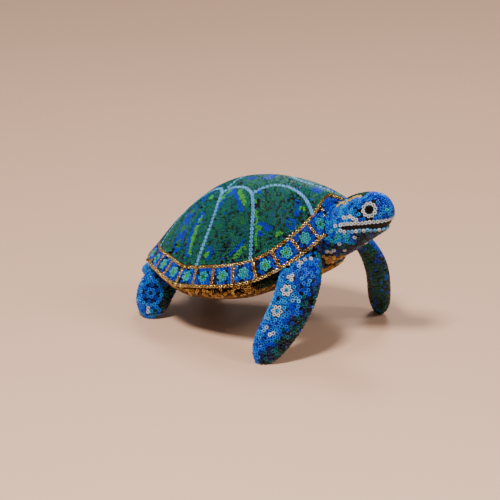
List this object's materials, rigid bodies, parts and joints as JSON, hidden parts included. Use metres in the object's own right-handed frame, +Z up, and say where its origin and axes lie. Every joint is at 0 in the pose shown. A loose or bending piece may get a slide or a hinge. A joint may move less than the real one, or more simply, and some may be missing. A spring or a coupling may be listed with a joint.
{
  "type": "beaded sea turtle figure",
  "caption": "Standing sea turtle carved in wood, waxed and covered in patterned glass seed beads, with a domed shell, banded rim, four flippers and a raised head.",
  "frame": {"origin": "on the floor, under the middle of the overall box", "axes": "+X forward towards the head, +Y the turtle's left, +Z up"},
  "size_m": [0.1546, 0.1038, 0.0807],
  "materials": {
    "carved_wood": "bare soft wood, knife carved",
    "dowel_wood": "turned pine dowel",
    "beeswax": "dark beeswax and pine resin",
    "dome_glass": "small teal and green seed beads",
    "line_glass": "pale blue seed beads",
    "square_glass": "royal blue and turquoise seed beads",
    "gold_glass": "gold lustre seed beads",
    "bronze_glass": "bronze seed beads",
    "flipper_glass": "azure, navy and white seed beads",
    "head_glass": "azure and royal blue seed beads",
    "white_glass": "white seed beads",
    "black_glass": "black seed beads"
  },
  "bodies": {
    "root": {"body_core": "carved_wood", "head_core": "carved_wood", "tail_core": "carved_wood", "neck_dowel": "dowel_wood", "body_wax_coat": "beeswax", "head_wax_coat": "beeswax", "tail_wax_coat": "beeswax", "vertebral_beads": "dome_glass", "right_costal_beads": "dome_glass", "left_costal_beads": "dome_glass", "scute_line_beads": "line_glass", "rim_square_beads": "square_glass", "gold_divider_beads": "gold_glass", "upper_gold_row": "gold_glass", "lower_gold_row": "gold_glass", "plastron_beads": "bronze_glass", "shoulder_beads": "bronze_glass", "tail_beads": "flipper_glass", "head_beads": "head_glass", "lip_beads": "white_glass", "mouth_beads": "black_glass", "eye_right": "black_glass", "eye_left": "black_glass", "eye_ring_right": "white_glass", "eye_ring_left": "white_glass", "front_right_core": "carved_wood", "front_right_dowel": "dowel_wood", "front_right_wax_coat": "beeswax", "front_right_beads": "flipper_glass", "front_left_core": "carved_wood", "front_left_dowel": "dowel_wood", "front_left_wax_coat": "beeswax", "front_left_beads": "flipper_glass", "rear_right_core": "carved_wood", "rear_right_dowel": "dowel_wood", "rear_right_wax_coat": "beeswax", "rear_right_beads": "flipper_glass", "rear_left_core": "carved_wood", "rear_left_dowel": "dowel_wood", "rear_left_wax_coat": "beeswax", "rear_left_beads": "flipper_glass"}
  },
  "joints": []
}
